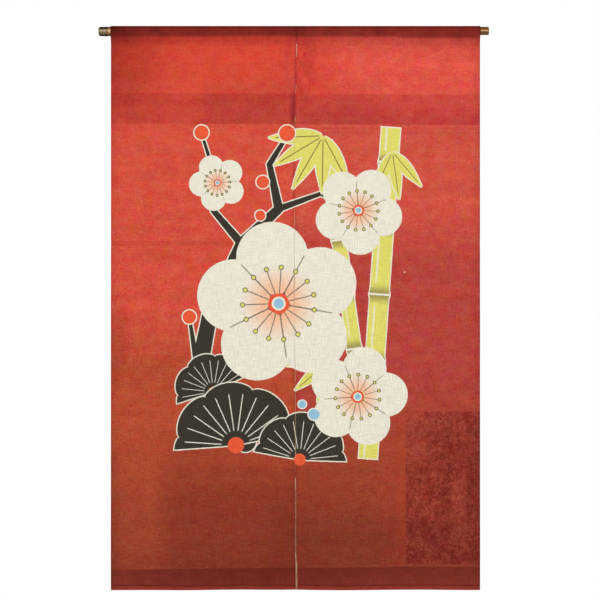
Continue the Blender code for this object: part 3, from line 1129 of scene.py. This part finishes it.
def make_bamboo_material():
    """Smoked bamboo: golden brown, mottled dark towards its left end, with painted shade above and below
    and a painted highlight along the front of its right half.
    """
    material, shader = new_material("smoked bamboo")
    place = Wire(add_node("TexCoord").outputs["Object"])
    x, _, z = parts(place)
    fibres = cloud(place, (9, 900, 900), detail=3)
    smoke = cloud(place, (110, 210, 210), detail=4, roughness=0.6)
    soot = cloud(place, (30, 70, 70), detail=2)
    height = z - x * POLE_TILT
    left_end = fall(x, -449 * MM, -443 * MM)
    right_half = rise(x, 0.0, 400 * MM)
    tone = paint(HONEY, STRAW, rise(fibres, 0.42, 0.70) * 0.6)
    tone = paint(tone, GOLD, fall(x, -438 * MM, -430 * MM) * 0.80)
    tone = paint(tone, OLIVE, left_end * 0.85)
    tone = paint(tone, SMOKE_BLACK, rise(smoke, 0.47, 0.58) * (left_end * 0.75 + 0.08))
    tone = paint(tone, TEA, rise(soot, 0.5, 0.7) * 0.4)
    # Painted highlight along the front of the right half
    tone = paint(tone, PAINTED_HIGHLIGHT, near(height, -0.3 * MM, 2.3 * MM) * right_half * 0.8)
    # Painted shade along the lower and upper sides of the pole
    painted_shade_below = fall(height - right_half * (1.8 * MM), -8.0 * MM, -1.5 * MM)
    painted_shade_above = rise(height, 2.5 * MM, 6.5 * MM)
    tone = paint(tone, PAINTED_SHADE_BROWN, most(painted_shade_below, painted_shade_above) * (0.9 - left_end * 0.15))
    # Deeper painted shade on the upper and lower sides of the left end
    painted_shade_edges = most(fall(height, -10 * MM, -6.0 * MM), rise(height, 3.5 * MM, 6.5 * MM))
    tone = paint(tone, PAINTED_SHADE_BLACK, painted_shade_edges * left_end * 0.92)
    for node_x, _ in CULM_NODES:
        scar = near(x, node_x + 2.8 * MM, 1.6 * MM)
        tone = paint(tone, SCAR_BROWN, scar * 0.7)
    left_sawn = fall(x, pole_low.x + 0.3 * MM, pole_low.x + 3.5 * MM)
    right_sawn = rise(x, pole_high.x - 2.5 * MM, pole_high.x)
    tone = paint(tone, SAWN_BROWN, most(left_sawn, right_sawn) * 0.6)
    feed(shader.inputs["Base Color"], tone)
    feed(shader.inputs["Roughness"], smoke * 0.20 + 0.17)
    shader.inputs["Specular IOR Level"].default_value = 0.30
    feed(shader.inputs["Normal"], bump(fibres + smoke * 0.5, 0.25, 0.2 * MM))
    return material


# Stage, light and camera

FLOOR_DROP = 0.6
FLOOR_RADIUS = 2.4
FLOOR_LIGHT = (0.80, 0.80, 0.80)
FLOOR_DARK = (0.72, 0.72, 0.71)
LENS = 100.0
SENSOR = 36.0
SURROUND_LIGHT = 0.30
SURROUND_IN_GLOSS = 0.06
SOFTBOXES = (
    {"name": "key", "place": (-1.5, -3.3, 0.7), "size": 1.3, "power": 65},
    {"name": "fill", "place": (1.7, -3.2, -0.3), "size": 1.3, "power": 47},
    {"name": "back", "place": (1.8, 2.9, 0.9), "size": 1.8, "power": 75},
)


def make_floor():
    """A pale round floor below the hem, small enough to stay under the main view."""
    mesh = bmesh.new()
    bmesh.ops.create_circle(mesh, cap_ends=True, segments=128, radius=FLOOR_RADIUS)
    material, shader = new_material("pale floor")
    place = Wire(add_node("TexCoord").outputs["Object"])
    speckle = cloud(place, (6, 6, 6), detail=5, roughness=0.6)
    feed(shader.inputs["Base Color"], paint(FLOOR_LIGHT, FLOOR_DARK, speckle))
    shader.inputs["Roughness"].default_value = 0.8
    floor = add_piece("floor", mesh, material)
    floor.location = (0, 0, CLOTH_LOW - FLOOR_DROP)


def add_softbox(name, place, size, power):
    """A square soft light that faces the middle of the cloth."""
    light = bpy.data.lights.new(name, "AREA")
    light.size = size
    light.energy = power
    lamp = add_object(name, light)
    lamp.location = place
    aim = Vector((0, 0, (CLOTH_TOP + CLOTH_LOW) / 2))
    lamp.rotation_euler = (aim - Vector(place)).to_track_quat("-Z", "Y").to_euler()
    lamp.visible_camera = False


def light_studio():
    """A white surround, darker in reflections, and large soft lights, mostly from the camera's side."""
    world = bpy.data.worlds.new("studio")
    world.use_nodes = True
    Wire.tree = world.node_tree
    seen = Wire.tree.nodes["Background"]
    fill = add_node("Background")
    for background in (seen, fill):
        background.inputs["Color"].default_value = (1, 1, 1, 1)
    path = add_node("LightPath")
    glossy = Wire(path.outputs["Is Glossy Ray"])
    feed(fill.inputs["Strength"], glossy * (SURROUND_IN_GLOSS - SURROUND_LIGHT) + SURROUND_LIGHT)
    mix = add_node("MixShader")
    sources = (path.outputs["Is Camera Ray"], fill.outputs[0], seen.outputs[0])
    for socket, source in zip(mix.inputs, sources):
        feed(socket, Wire(source))
    feed(Wire.tree.nodes["World Output"].inputs["Surface"], Wire(mix.outputs[0]))
    bpy.context.scene.world = world
    for softbox in SOFTBOXES:
        add_softbox(**softbox)


def make_camera():
    """A level camera in front, framed so that a pixel is as large at the cloth as in the photo."""
    data = bpy.data.cameras.new("camera")
    data.lens = LENS
    data.sensor_width = SENSOR
    camera = add_object("camera", data)
    distance = PHOTO_SIZE * PIXEL * LENS / SENSOR
    x = (PHOTO_SIZE / 2 - (PHOTO_CLOTH_LEFT + PHOTO_CLOTH_RIGHT) / 2) * PIXEL
    z = CLOTH_TOP - (PHOTO_SIZE / 2 - PHOTO_CLOTH_TOP) * PIXEL
    camera.location = (x, -distance, z)
    camera.rotation_euler = (math.pi / 2, 0, 0)
    bpy.context.scene.camera = camera
    bpy.context.scene.view_settings.view_transform = "Standard"


def flat_length():
    """Length that each width was cut to, measured along its path."""
    path = sheet_path(0.0)
    return sum(math.hypot(b[0] - a[0], b[1] - a[1]) for a, b in zip(path, path[1:]))


def main():
    make_camera()
    light_studio()
    make_floor()
    design = make_design()
    thread = make_thread_material()
    seam = make_seam("seam_stitches", thread)
    widths = (
        ("left", -1, LEFT_FOLDS, make_cloth_material("cloth left", design, LEFT_DYE, -1)),
        ("right", 1, RIGHT_FOLDS, make_cloth_material("cloth right", design, RIGHT_DYE, 1)),
    )
    for hand, side, folds, material in widths:
        sheet = make_sheet("cloth_" + hand, side, folds, material)
        stitching = make_stitching("stitches_" + hand, side, folds, thread)
        for piece in (sheet, stitching):
            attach(piece, "root")
        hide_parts("panel_" + hand)
        flat_length()
    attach(seam, "root")
    pole = make_pole(make_bamboo_material())
    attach(pole, "root")
    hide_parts("rod")


main()
